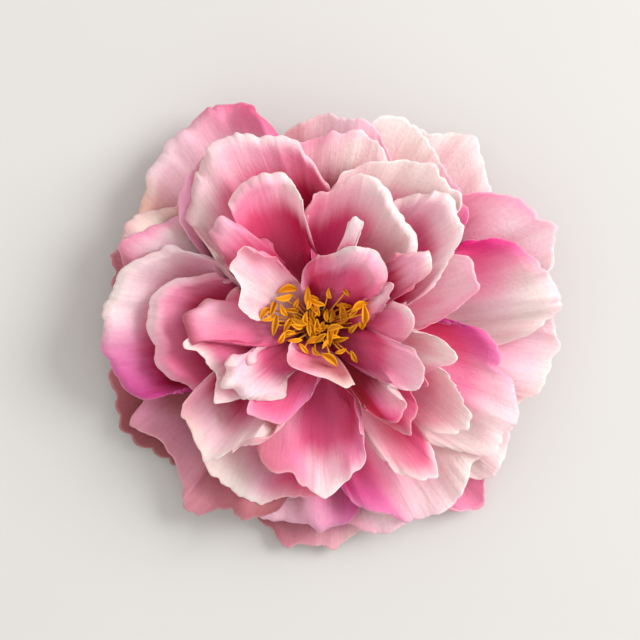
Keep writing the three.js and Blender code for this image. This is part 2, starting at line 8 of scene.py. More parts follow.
import bmesh
import bpy
import numpy as np
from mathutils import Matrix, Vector
from mathutils.bvhtree import BVHTree


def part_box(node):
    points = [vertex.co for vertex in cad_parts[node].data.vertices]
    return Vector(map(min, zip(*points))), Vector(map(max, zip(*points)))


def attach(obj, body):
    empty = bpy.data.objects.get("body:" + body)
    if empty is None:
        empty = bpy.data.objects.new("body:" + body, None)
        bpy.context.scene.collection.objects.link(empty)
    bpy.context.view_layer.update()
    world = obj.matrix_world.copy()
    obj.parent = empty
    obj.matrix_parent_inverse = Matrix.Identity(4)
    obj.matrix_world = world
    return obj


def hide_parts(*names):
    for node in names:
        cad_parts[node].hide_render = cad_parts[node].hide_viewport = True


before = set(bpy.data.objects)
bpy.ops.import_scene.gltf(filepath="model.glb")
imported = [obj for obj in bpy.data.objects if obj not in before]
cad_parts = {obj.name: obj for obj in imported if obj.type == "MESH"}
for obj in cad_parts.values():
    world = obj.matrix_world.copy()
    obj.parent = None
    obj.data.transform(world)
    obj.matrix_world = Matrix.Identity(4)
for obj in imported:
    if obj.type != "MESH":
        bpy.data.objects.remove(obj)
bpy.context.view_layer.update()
MM = 0.001  # metres

# ---------------------------------------------------------------------------------------------------
# The receptacle: the green end of the stem, cut off just under the bloom, widening into the cup of the
# calyx and going on up as the column that all the petals and stamens grow from.
# ---------------------------------------------------------------------------------------------------
receptacle_low, receptacle_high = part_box("receptacle")
axis = np.array([(receptacle_low.x + receptacle_high.x) / 2, (receptacle_low.y + receptacle_high.y) / 2])
RIB_DEPTH = 0.12 * MM
RIBS = 11
STEM_SIDES = 96


class Shade:
    """One socket in a material's node tree. Arithmetic on it adds Math nodes."""

    def __init__(self, tree, socket=None):
        self.tree = tree
        self.socket = socket

    def node(self, kind, settings, sockets, output=0):
        """A new node's output: its settings are set first, then the values or links of its sockets."""
        made = self.tree.nodes.new(kind)
        for name, value in settings.items():
            if name == "stops":
                ramp = made.color_ramp
                while len(ramp.elements) < len(value):
                    ramp.elements.new(1)
                for element, (place, colour) in zip(ramp.elements, value):
                    element.position = place
                    element.color = colour
            else:
                setattr(made, name, value)
        for name, value in sockets.items():
            target = made.inputs[name]
            if isinstance(value, Shade):
                self.tree.links.new(value.socket, target)
            else:
                target.default_value = value
        return Shade(self.tree, made.outputs[output])

    def sum(self, operation, first, second):
        return self.node("ShaderNodeMath", {"operation": operation}, {0: first, 1: second})

    def __add__(self, other):
        return self.sum("ADD", self, other)

    def __radd__(self, other):
        return self.sum("ADD", other, self)

    def __sub__(self, other):
        return self.sum("SUBTRACT", self, other)

    def __rsub__(self, other):
        return self.sum("SUBTRACT", other, self)

    def __mul__(self, other):
        return self.sum("MULTIPLY", self, other)

    def __rmul__(self, other):
        return self.sum("MULTIPLY", other, self)

    def mixed(self, first, second):
        """Between two colours, by this amount."""
        return self.node("ShaderNodeMix", {"data_type": "RGBA"}, {0: self, 6: first, 7: second}, 2)


def new_material(name, constants):
    """A material and its node tree, with the shader's unchanging values set on its own sockets."""
    made = bpy.data.materials.new(name)
    made.use_nodes = True
    shader = made.node_tree.nodes["Principled BSDF"]
    for socket, value in constants.items():
        shader.inputs[socket].default_value = value
    return made, Shade(made.node_tree), shader


def linear(code):
    """An #rrggbb colour as the linear values that shaders use."""
    parts = [int(code[i:i + 2], 16) / 255 for i in (1, 3, 5)]
    return [p / 12.92 if p <= 0.04045 else ((p + 0.055) / 1.055) ** 2.4 for p in parts]


def wire(material, shader, sockets):
    """Feeds the shader's varying sockets."""
    for name, value in sockets.items():
        material.node_tree.links.new(value.socket, shader.inputs[name])


def grid_faces(first, rings, across, closed):
    """Faces between rings of points, each ring with as many points and closed on itself or not."""
    faces = []
    for ring in range(rings - 1):
        for turn in range(across if closed else across - 1):
            a, b = first + ring * across + turn, first + ring * across + (turn + 1) % across
            faces.append((a, b, b + across, a + across))
    return faces


def green_material(name, young, old, vein_scale):
    """Matte plant green, paler along its veins."""
    made, shade, shader = new_material(name, {
        "Subsurface Weight": 0.12,
        "Subsurface Radius": (0.0009, 0.0012, 0.0004),
        "Subsurface Scale": 1.0,
        "Specular IOR Level": 0.35,
    })
    coords = shade.node("ShaderNodeTexCoord", {}, {}, "Object")
    long = shade.node("ShaderNodeMapping", {}, {"Vector": coords, "Scale": (vein_scale, vein_scale, 120)})
    vein = shade.node("ShaderNodeTexNoise", {}, {"Vector": long, "Scale": 1.0, "Detail": 6.0}, "Fac")
    blotch = shade.node("ShaderNodeTexNoise", {}, {"Vector": coords, "Scale": 260.0, "Detail": 3.0}, "Fac")
    colour = (vein * 0.7 + blotch * 0.5 - 0.1).mixed((*linear(old), 1), (*linear(young), 1))
    bump = shade.node("ShaderNodeBump", {}, {"Height": vein, "Strength": 0.4, "Distance": 0.0004}, "Normal")
    rough = blotch * 0.2 + 0.5
    wire(made, shader, {"Base Color": colour, "Normal": bump, "Roughness": rough})
    return made


def show(piece, node, material):
    """Hands a finished piece to the frame in the place of its CAD node."""
    piece.data.materials.clear()
    piece.data.materials.append(material)
    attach(piece, "root")
    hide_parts(node)


stem_green = green_material("stem_green", "#a3b35e", "#5f7a35", 900)

bpy.ops.object.select_all(action="DESELECT")
bpy.ops.mesh.primitive_circle_add(vertices=STEM_SIDES, radius=1, fill_type="NOTHING", location=(0, 0, 0))
stem = bpy.context.object
stem.name = "stem_end"
stem_height = receptacle_high.z - receptacle_low.z
stem_radius = (receptacle_high.x - receptacle_low.x) / 2
CUT_RADIUS = 3.2 * MM
# shares of the cut's radius and of the whole height, from the cut up
STEM_PROFILE = [(0.0, 0.0), (0.93, 0.0), (1.0, 0.012), (1.0, 0.09), (1.12, 0.12), (1.5, 0.165),
                (1.78, 0.2), (1.85, 0.25), (1.86, 0.6), (1.83, 0.94), (1.62, 1.0), (0.0, 1.0)]
rings = []
for wide, high in STEM_PROFILE:
    turns = np.arange(STEM_SIDES) * 2 * math.pi / STEM_SIDES
    rib = RIB_DEPTH * np.cos(RIBS * turns) if 0 < wide else 0 * turns
    ring = np.minimum(wide * CUT_RADIUS, stem_radius - RIB_DEPTH) + rib * (wide > 0.95)
    rings.append(np.stack([axis[0] + ring * np.cos(turns), axis[1] + ring * np.sin(turns),
                           np.full(STEM_SIDES, receptacle_low.z + high * stem_height)], axis=1))
stem_points = np.concatenate(rings)
stem_faces = grid_faces(0, len(rings), STEM_SIDES, True)
stem.data.clear_geometry()
stem.data.from_pydata([tuple(p) for p in stem_points], [], stem_faces)
bpy.ops.object.mode_set(mode="EDIT")
bpy.ops.mesh.select_all(action="SELECT")
bpy.ops.mesh.remove_doubles(threshold=1e-6)
bpy.ops.mesh.normals_make_consistent(inside=False)
bpy.ops.object.mode_set(mode="OBJECT")
bpy.ops.object.shade_smooth_by_angle(angle=math.radians(50))
show(stem, "receptacle", stem_green)

# ---------------------------------------------------------------------------------------------------
# The sepals: five small green leaves of the calyx. They grow from the cup under the petals and are
# pressed flat between the lowest petals and the table.
# ---------------------------------------------------------------------------------------------------
random = np.random.default_rng(41)


def grown(points, places):
    """Points of a smooth curve through the given ones, at places that are counted in points."""
    last = len(points) - 1
    before, after = 2 * points[:1] - points[1:2], 2 * points[-1:] - points[-2:-1]
    padded = np.concatenate([before, points, after])
    start = np.clip(np.floor(places).astype(int), 0, last - 1)
    t = (places - start).reshape(-1, *[1] * (points.ndim - 1))
    a, b, c, d = (padded[start + step] for step in range(4))
    return b + t * (c - a + t * (2 * a - 5 * b + 4 * c - d + t * (3 * (b - c) + d - a))) / 2


def dapple(along, out, swells_along, swells_out):
    """Smooth random heights, about -1 to 1, over a sheet's two sets of places from 0 to 1."""
    rough = random.uniform(-1, 1, (swells_along + 1, swells_out + 1))
    columns = grown(rough, along * swells_along)
    return grown(columns.T, out * swells_out).T


def ease(low, high, value):
    """0 below low, 1 above high and smooth between them."""
    t = np.clip((value - low) / (high - low), 0, 1)
    return t * t * (3 - 2 * t)


def cad_sheet(node):
    """The points of a CAD petal's upper face, as a grid: along the rim, then out from the claw."""
    shell = bmesh.new()
    shell.from_mesh(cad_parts[node].data)
    bmesh.ops.remove_doubles(shell, verts=shell.verts, dist=1e-6)
    shell.normal_update()
    under = [face for face in shell.faces if face.normal.z <= 0]
    bmesh.ops.delete(shell, geom=under, context="FACES")
    after = {}
    for edge in shell.edges:
        if edge.is_boundary:
            corner = edge.link_loops[0]
            after[corner.vert] = corner.link_loop_next.vert
    reach = {vert: math.hypot(vert.co.x - axis[0], vert.co.y - axis[1]) for vert in after}
    claw_reach = min(reach.values()) + 0.05 * MM
    first = next(v for v in after if reach[v] < claw_reach and reach[after[v]] >= claw_reach)
    edge_points = [first]
    while after[edge_points[-1]] is not first:
        edge_points.append(after[edge_points[-1]])
    # the edge holds 2 * (columns + rows) points and the sheet (columns + 1) * (rows + 1)
    half = len(edge_points) // 2
    inside = len(shell.verts) - 1 - half
    rows = round((half - math.sqrt(half * half - 4 * inside)) / 2)
    columns = half - rows
    round_edge = np.array([vert.co for vert in edge_points])
    everywhere = np.array([vert.co for vert in shell.verts])
    shell.free()
    rim = round_edge[rows:rows + columns + 1]
    claw = np.concatenate([round_edge[:1], round_edge[:-columns - 1:-1]])
    grid = np.zeros((columns + 1, rows + 1, 3))
    for row in range(rows + 1):
        wanted = claw + (rim - claw) * row / rows
        apart = np.hypot(everywhere[None, :, 0] - wanted[:, None, 0],
                         everywhere[None, :, 1] - wanted[:, None, 1])
        grid[:, row] = everywhere[apart.argmin(axis=1)]
    return grid


def fine_sheet(node, step):
    """A CAD petal's grid, grown to points about a step apart, with its places along and out."""
    coarse = cad_sheet(node)
    rim = coarse[:, -1]
    run = np.concatenate([[0], np.cumsum(np.linalg.norm(np.diff(rim, axis=0), axis=1))])
    length = np.linalg.norm(np.diff(coarse, axis=1), axis=2).sum(axis=1).max()
    along = np.linspace(0, 1, int(np.clip(run[-1] / step, 30, 170)))
    out = np.linspace(0, 1, int(np.clip(length / step / 1.2, 24, 64)))
    columns = grown(coarse, np.interp(along * run[-1], run, np.arange(len(run))))
    sheet = grown(columns.transpose(1, 0, 2), out * (coarse.shape[1] - 1)).transpose(1, 0, 2)
    return sheet, along, out, run[-1], length


def facing(sheet):
    """The sheet's unit normals, pointing up out of the flower."""
    across = np.cross(np.gradient(sheet, axis=1), np.gradient(sheet, axis=0))
    across /= np.linalg.norm(across, axis=2, keepdims=True) + 1e-12
    return across * np.where(across[..., 2:] < 0, -1, 1)


def sheet_object(name, sheet, along, out, colour, size, thickness):
    """A mesh of the sheet with its UV map in millimetres and its painted colour, thickened."""
    columns, rows = len(along), len(out)
    number = np.arange(columns * rows).reshape(columns, rows)
    corners = np.stack([number[:-1, :-1], number[:-1, 1:], number[1:, 1:], number[1:, :-1]], axis=2)
    corners = corners.reshape(-1, 4)
    mesh = bpy.data.meshes.new(name)
    mesh.from_pydata(sheet.reshape(-1, 3).tolist(), [], corners.tolist())
    places = np.stack(np.meshgrid(along * size[0], out * size[1], indexing="ij"), axis=2) / MM
    uv_map = mesh.uv_layers.new(name="petal_map")
    uv_map.data.foreach_set("uv", places.reshape(-1, 2)[corners.reshape(-1)].reshape(-1))
    painted = mesh.color_attributes.new("painted", "FLOAT_COLOR", "POINT")
    full = np.concatenate([colour, np.ones((columns, rows, 1))], axis=2)
    painted.data.foreach_set("color", full.reshape(-1).astype(np.float32))
    mesh.polygons.foreach_set("use_smooth", np.ones(len(corners), dtype=bool))
    made = bpy.data.objects.new(name, mesh)
    bpy.context.scene.collection.objects.link(made)
    wall = made.modifiers.new("thickness", "SOLIDIFY")
    wall.thickness = thickness
    wall.offset = 0
    return made


SEPAL_THICKNESS = 0.7 * MM
SEPAL_STEP = 0.5 * MM
SEPAL_CREASE = 0.3 * MM
sepal_green = green_material("sepal_green", "#8fa552", "#4d6a2c", 500)
for number in range(1, 6):
    node = f"sepal_{number}"
    sheet, along, out, width, length = fine_sheet(node, SEPAL_STEP)
    crease = np.exp(-((along[:, None] - 0.5) / 0.03) ** 2) * (1 - out[None, :] ** 2)
    sheet = sheet - facing(sheet) * (crease * SEPAL_CREASE)[..., None]
    plain = np.ones((len(along), len(out), 3))
    sepal = sheet_object(f"sepal_leaf_{number}", sheet, along, out, plain, (width, length), SEPAL_THICKNESS)
    show(sepal, node, sepal_green)

# ---------------------------------------------------------------------------------------------------
# The petals: thin soft sheets, laid over one another from the outside in. The guard petals lie on the
# table, the middle ones cup upwards, and the inner and centre ones stand round the stamens. Each is
# narrow at its claw, spreads like a fan and ends in a ruffled cream or pink rim.
# ---------------------------------------------------------------------------------------------------
PETAL_THICKNESS = 0.26 * MM
PETAL_AIR = 0.12 * MM  # between two petals that lie on each other
PETAL_STEP = 0.55 * MM  # between two points of a fine sheet
RIM_BAND = 4 * MM  # how far the rim's colour reaches inwards
BODY_BAND = 7.5 * MM  # from the rim to where the deep colour begins
DEEP_BAND = 20 * MM  # and to where it is full
BELLY = 1.15  # how far a petal's sides bulge between claw and rim
SIDE_PULL = 1.8  # how closely the outer tints keep to a petal's sides
STREAK = 0.2  # how far the rim's colour runs in along the veins

TINTS = {name: np.array(linear(code)) for name, code in {
    "ivory": "#ffe7e1", "cream": "#fde0d2", "shell": "#ffd2da", "blush": "#fbb3c7", "pink": "#f592b2",
    "rose": "#e8608b", "cerise": "#e4408f", "magenta": "#c82588", "crimson": "#b8134d",
    "wine": "#86062c", "dusky": "#d58c99", "mauve": "#e9a1bb", "tan": "#f0c79c",
    # umber is painted shade and clay partly so: they darken the guard petals at the lower left, on the
    # flower's side away from the light
    "clay": "#b36a6e", "umber": "#8f4d50", "orchid": "#e27fab",
}.items()}

# for each petal: its rim from the clockwise side to the anticlockwise one, its body likewise, and its
# depth likewise; then, in millimetres, how far its rim is rolled down, how high its ruffles stand and
# how far its sides stand above its middle. The darker words on the guard petals at the lower left,
# umber, clay and dusky, are painted shade on the flower's side away from the light; the crimson and
# wine deep in the flower are partly the petals' own deeper colour and partly painted shade between
# the petals.
PETAL_TOUCHES = {
    "guard_petal_1": ("umber dusky cream", "umber dusky mauve", "rose rose rose", 2.0, 1.4, 1.5),
    "guard_petal_2": ("shell pink rose", "magenta pink pink", "rose rose rose", 0.5, 0.8, 3.0),
    "guard_petal_3": ("clay umber umber", "clay umber umber", "umber umber umber", 2.0, 0.8, 1.5),
    "guard_petal_4": ("ivory ivory cream", "ivory ivory shell", "shell shell blush", 1.0, 1.0, 1.5),
    "guard_petal_5": ("dusky clay clay", "dusky dusky clay", "rose rose rose", 1.5, 0.8, 1.5),
    "guard_petal_6": ("shell ivory shell", "ivory ivory shell", "pink shell blush", 0.5, 0.8, 1.5),
    "guard_petal_7": ("clay blush ivory", "dusky shell ivory", "rose rose shell", 1.5, 1.0, 1.5),
    "guard_petal_8": ("blush mauve magenta", "shell mauve magenta", "rose rose magenta", 1.5, 1.2, 1.5),
    "guard_petal_9": ("dusky dusky umber", "mauve dusky clay", "clay clay crimson", 1.5, 1.6, 3.0),
    "guard_petal_10": ("cream cream shell", "cream shell shell", "blush blush blush", 0.5, 1.2, 1.5),
    "guard_petal_11": ("ivory blush pink", "shell shell pink", "shell blush rose", 0.5, 1.6, 3.0),
    "guard_petal_12": ("cerise ivory ivory", "cerise ivory ivory", "pink shell shell", 1.0, 1.2, 1.5),
    "guard_petal_13": ("blush shell clay", "pink shell clay", "pink blush rose", 1.2, 1.0, 1.5),
    "guard_petal_14": ("crimson rose dusky shell tan", "rose pink blush shell tan",
                       "pink shell dusky", 2.2, 1.8, -4.0),
    "guard_petal_15": ("dusky cream dusky", "dusky cream shell", "pink pink pink", 2.0, 0.8, 1.5),
    "guard_petal_16": ("ivory shell pink cerise crimson", "ivory ivory blush cerise crimson",
                       "ivory shell pink rose crimson", 2.0, 1.2, -4.0),
    "guard_petal_17": ("mauve pink clay", "ivory shell rose", "ivory ivory rose", 2.5, 0.8, 1.5),
    "middle_petal_1": ("orchid orchid shell ivory ivory", "cerise orchid shell ivory ivory",
                       "rose rose blush ivory ivory", 1.5, 1.6, -3.0),
    "middle_petal_2": ("cream ivory rose", "ivory ivory blush rose crimson",
                       "shell blush crimson crimson", 1.5, 1.2, 1.5),
    "middle_petal_3": ("ivory ivory shell orchid orchid", "ivory ivory shell orchid magenta",
                       "shell shell pink rose crimson", 2.0, 1.2, -3.0),
    "middle_petal_4": ("ivory shell rose", "ivory ivory pink", "crimson wine crimson", 1.5, 1.2, 1.5),
    "middle_petal_5": ("mauve mauve mauve", "mauve mauve mauve", "rose crimson wine", 1.0, 1.0, 1.5),
    "middle_petal_6": ("shell ivory ivory orchid magenta", "shell shell shell orchid magenta",
                       "blush blush pink crimson wine", 2.0, 1.6, -1.0),
    "middle_petal_7": ("shell ivory pink", "pink pink rose", "rose crimson rose", 3.0, 1.0, -3.0),
    "middle_petal_8": ("shell ivory dusky", "rose blush ivory", "wine crimson rose shell", 2.0, 1.6, -2.0),
    "middle_petal_9": ("ivory ivory ivory", "ivory rose ivory", "shell crimson blush", 0.5, 1.6, 4.0),
    "middle_petal_10": ("ivory ivory ivory", "ivory ivory ivory", "shell pink blush", 1.0, 1.6, 3.0),
    "middle_petal_11": ("rose blush shell", "shell shell shell", "blush blush blush", 0.5, 0.8, 2.0),
    "middle_petal_12": ("clay dusky ivory shell pink", "clay pink shell pink orchid",
                        "blush rose rose crimson", 0.8, 1.6, 4.0),
    "middle_petal_13": ("dusky cream ivory crimson", "blush shell ivory",
                        "crimson crimson pink ivory", 0.5, 1.6, 3.0),
    "middle_petal_14": ("shell ivory ivory", "pink shell blush",
                        "crimson crimson rose pink", 2.0, 1.2, 3.0),
    "middle_petal_15": ("ivory ivory dusky", "ivory shell rose", "shell rose crimson", 2.0, 1.2, 6.0),
    "middle_petal_16": ("cerise ivory ivory", "rose shell pink", "wine crimson rose", 1.0, 1.0, 3.0),
    "middle_petal_17": ("crimson pink ivory ivory", "rose ivory ivory ivory",
                        "rose ivory ivory ivory", 1.0, 0.8, -2.0),
    "inner_petal_1": ("crimson dusky rose", "crimson crimson rose",
                      "crimson crimson crimson", 0.5, 0.6, 3.0),
    "inner_petal_2": ("blush pink orchid", "rose rose orchid", "crimson rose rose", 0.5, 0.8, 2.0),
    "inner_petal_3": ("ivory ivory ivory", "crimson pink shell", "rose rose pink", 0.0, 0.8, 1.5),
    "inner_petal_4": ("ivory ivory ivory", "pink shell shell", "rose rose rose", 1.5, 0.8, -2.0),
    "inner_petal_5": ("cream clay crimson", "rose blush rose", "rose pink rose", 2.0, 0.6, -3.5),
    "inner_petal_6": ("pink shell dusky", "rose blush crimson", "crimson rose crimson", 2.5, 0.4, -5.0),
    "inner_petal_7": ("wine crimson wine rose ivory", "wine wine crimson pink ivory",
                      "wine wine wine", 0.5, 0.6, 5.0),
    "inner_petal_8": ("rose ivory shell", "pink pink pink", "rose rose rose", 1.0, 0.5, -2.0),
    "inner_petal_9": ("shell shell dusky", "rose blush pink", "crimson rose crimson", 1.5, 0.6, -2.5),
    "inner_petal_10": ("rose ivory ivory", "pink shell ivory", "blush shell shell", 0.3, 0.8, 1.0),
    "centre_petal_1": ("crimson ivory rose", "crimson blush crimson",
                       "crimson crimson crimson", 1.5, 0.4, 2.0),
    "centre_petal_2": ("wine blush blush", "rose shell blush", "crimson rose crimson", 0.3, 0.4, 2.0),
    "centre_petal_5": ("ivory ivory ivory", "shell shell shell", "rose rose rose", 1.0, 0.4, 2.5),
    "centre_petal_3": ("dusky ivory blush", "rose blush rose", "crimson rose crimson", 2.0, 1.3, -3.0),
    "centre_petal_4": ("shell dusky blush cream", "blush dusky clay", "rose rose clay", 0.3, 0.4, -1.5),
}


# pulls at a petal's rim: the place along it from 0 to 1 and how widely the pull spreads, then
# millimetres outwards, towards the anticlockwise side and upwards
RIM_PULLS = {
    "middle_petal_3": [(0.45, 0.06, 2.5, 0, 0), (0.62, 0.04, -2.0, 0, 0)],
    "middle_petal_9": [(0.5, 0.05, -4.0, 0, -1.5), (0.75, 0.1, 1.0, 0, 2.0)],
    "middle_petal_7": [(0.5, 0.8, -2.5, 0, -1.0)],
    "middle_petal_8": [(0.1, 0.3, -2.0, 0, 0)],
    "middle_petal_12": [(0.36, 0.06, 3.0, 0, 0), (0.85, 0.08, 0, 0, 2.0)],
    "middle_petal_14": [(0.3, 0.4, -2.0, 0, 0)],
    "middle_petal_16": [(0.85, 0.35, -4.5, -2.0, 0)],
    "middle_petal_15": [(0.15, 0.3, 0, 0, 3.0)],
    "middle_petal_17": [(0.8, 0.6, 0, 0, 5.0)],
    "inner_petal_5": [(0.9, 0.2, 0, -3.0, 0)],
    "middle_petal_13": [(0.25, 0.04, -2.0, 0, 0), (0.6, 0.05, -2.5, 0, 1.0)],
    "inner_petal_3": [(0.35, 0.06, -2.5, 0, 0), (0.7, 0.06, 2.0, 0, 1.0)],
    "inner_petal_4": [(0.1, 0.3, -2.0, 2.5, 1.5)],
    "inner_petal_6": [(0.5, 0.35, 0, 0, 3.0)],
    "inner_petal_10": [(0.92, 0.3, -1.0, 5.0, 0.5), (0.1, 0.2, 0, -1.5, 1.5), (0.45, 0.05, -1.5, 0, 0)],
    "centre_petal_1": [(0.85, 0.2, 0, 0, 1.5), (0.1, 0.2, -1.0, 0, 0)],
    "centre_petal_2": [(0.5, 0.12, -3.0, 0, -1.0), (0.8, 0.15, 1.5, 1.5, 1.0), (0.1, 0.2, 0.5, -3.0, 0)],
    "centre_petal_3": [(0.9, 0.35, -6.0, 0.5, 0), (0.3, 0.5, -5.0, 0, 2.5), (0.55, 0.06, 1.5, 0, 0),
                       (0.75, 0.08, -1.5, 0, 1.0)],
    "centre_petal_4": [(0.95, 0.22, 1.5, 4.5, 0.5), (0.2, 0.4, -2.5, -1.5, 1.5)],
    "centre_petal_5": [(0.0, 0.35, 0, 2.4, 0), (1.0, 0.35, 0, -1.4, 1.5), (0.9, 0.2, 2.0, 0, 0)],
}

TORN_TEETH, FINE_TEETH = 1.7, 0.5  # millimetres
RAGGED_PETALS = ("middle_petal_9", "middle_petal_13", "inner_petal_3", "inner_petal_4", "inner_petal_10",
                 "centre_petal_2", "centre_petal_5")

# rims that curl: from and to along the rim, how many millimetres of it curl, the bend's radius, and how
# many degrees it turns, over the petal when positive and down under it when negative
RIM_CURLS = {
    "guard_petal_2": (0.0, 0.45, 5, 1.4, 130),
    "guard_petal_8": (0.1, 1.0, 5, 3.0, -70),
    "guard_petal_14": (0.0, 1.0, 5, 3.0, -80),
    "middle_petal_1": (0.42, 0.56, 6, 1.4, 120),
    "middle_petal_6": (0.05, 0.95, 4, 2.4, -45),
    "middle_petal_7": (0.0, 1.0, 5, 2.4, -65),
    "middle_petal_8": (0.2, 1.0, 4, 2.6, -50),
    "middle_petal_13": (0.62, 1.0, 5, 1.2, 125),
    "middle_petal_14": (0.5, 1.0, 5, 2.6, -80),
    "middle_petal_15": (0.0, 0.55, 5, 1.6, -110),
    "middle_petal_16": (0.5, 1.1, 5, 1.8, -110),
    "inner_petal_4": (0.0, 1.0, 6, 2.4, -110),
    "inner_petal_5": (-0.1, 0.85, 7, 3.0, -110),
    "inner_petal_6": (0.0, 1.0, 10, 3.4, -150),
    "inner_petal_7": (0.75, 1.1, 3, 0.8, 130),
    "inner_petal_8": (0.5, 1.0, 4, 1.6, -90),
    "inner_petal_10": (0.0, 1.0, 4, 3.0, 45),
    "centre_petal_1": (0.4, 1.0, 5, 2.2, -90),
    "centre_petal_3": (0.0, 1.0, 7, 2.8, -120),
}


# from the axis: nearer than the first, petals aren't lifted off each other; past the second, fully
CLAWS_END, PETALS_BEGIN = 7 * MM, 13 * MM
LIFT_SPREADS = 14  # how often a lift spreads to the points around it


class Heap:
    """How high the flower stands so far, seen from above, in cells half a millimetre wide."""

    cell = 0.5 * MM
    half = 200

    def __init__(self):
        self.top = np.zeros((2 * self.half, 2 * self.half))

    def cells(self, points):
        """The cells under the points."""
        where = np.rint((points[..., :2] - axis) / self.cell).astype(int) + self.half
        return np.clip(where, 0, 2 * self.half - 1)

    def under(self, points):
        """How high the flower stands under each point."""
        where = self.cells(points)
        return self.top[where[..., 0], where[..., 1]]

    def lay(self, sheet):
        """Counts the sheet in, at points close enough to miss no cell."""
        dense = grown(sheet, np.linspace(0, len(sheet) - 1, 3 * len(sheet)))
        dense = grown(dense.transpose(1, 0, 2), np.linspace(0, sheet.shape[1] - 1, 4 * sheet.shape[1]))
        where = self.cells(dense).reshape(-1, 2)
        np.maximum.at(self.top, (where[:, 0], where[:, 1]), dense[..., 2].reshape(-1))


def laid(sheet, heap):
    """The sheet, raised where it would cut into what it lies on."""
    away = np.linalg.norm(sheet[..., :2] - axis, axis=2)
    outside = ease(CLAWS_END, PETALS_BEGIN, away)
    lift = np.maximum(heap.under(sheet) + PETAL_AIR + PETAL_THICKNESS - sheet[..., 2], 0) * outside
    lowest = np.maximum(PETAL_THICKNESS - sheet[..., 2], 0)
    lift = np.maximum(lift, lowest)
    spread = lift.copy()
    for _ in range(LIFT_SPREADS):
        wide = np.pad(spread, 2, mode="edge")
        near = (wide[:-4, 2:-2] + wide[4:, 2:-2] + wide[2:-2, :-4] + wide[2:-2, 4:]) / 4
        spread = np.maximum(lift, near)
    raised = sheet.copy()
    raised[..., 2] += spread
    return raised


def painted_petal(touch, along, out, width, length):
    """The petal's colour at each point: rim, body and depth, run together along the veins. The depth
    and the crimson throat are partly the petal's own deeper base and partly painted shade deep between
    the petals; a thin paler line along the edge is a painted highlight.
    """
    rim_tints, body_tints, deep_tints = ([TINTS[word] for word in words.split()] for words in touch[:3])
    streak = dapple(along, out, 46, 3) * 0.35 + dapple(along, out, 12, 3) * 0.7
    streak = streak + dapple(along, out, 90, 4) * 0.25
    sway = along[:, None] + 0.05 * dapple(along, out, 7, 3)
    from_rim = (1 - out[None, :]) * length * np.ones_like(streak)
    from_side = np.minimum(along, 1 - along)[:, None] * width * (0.25 + 0.75 * out[None, :])
    inward = np.minimum(from_rim, from_side * 3 + 6.5 * MM) + streak * STREAK * from_rim

    def across(tints):
        table = grown(np.array(tints), np.linspace(0, len(tints) - 1, 65))
        spot = 32 + 32 * np.tanh(SIDE_PULL * (2 * sway - 1)) / math.tanh(SIDE_PULL)
        low = np.floor(spot).astype(int).clip(0, 63)
        share = (spot - low)[..., None]
        return table[low] * (1 - share) + table[low + 1] * share

    rim_share = 1 - ease(-0.4 * RIM_BAND, RIM_BAND * 2, inward)
    # the depth's colours: partly the petal's own deeper base, partly painted shade where petals lie deep
    # under one another
    deep_share = ease(BODY_BAND, DEEP_BAND, from_rim * (1 + 0.16 * streak))
    colour = across(body_tints)
    colour += (across(rim_tints) - colour) * rim_share[..., None]
    colour += (across(deep_tints) - colour) * deep_share[..., None]
    # the throat goes crimson towards the claw: partly the petal's own colour, partly painted shade deep in
    # the flower's centre
    throat = ease(0.72, 1.0, 1 - out)[None, :, None]
    colour += (TINTS["crimson"] - colour) * throat * 0.7
    blotch = dapple(along, out, 5, 4) + 0.5 * dapple(along, out, 16, 9)
    colour *= 1 - np.clip(blotch, 0, 1)[..., None] * np.array([0.02, 0.17, 0.10])
    # painted highlight: a thin paler line along the very edge, where the edges catch the light
    edge_highlight = 1 - ease(0.2 * MM, 1.3 * MM, np.minimum(from_rim, from_side * 1.5 + 0.3 * MM))
    colour += (TINTS["ivory"] - colour) * edge_highlight[..., None] * 0.2
    veins = dapple(along, out, 120, 2) * 0.5 + dapple(along, out, 60, 2) * 0.5
    return np.clip(colour * (1 + 0.035 * veins[..., None]), 0.01, 0.97)


CURL_EASE = 0.16  # share of the rim over which a curl begins and ends
CURL_SMOOTHING = 9  # how many columns of points share one direction of the bend


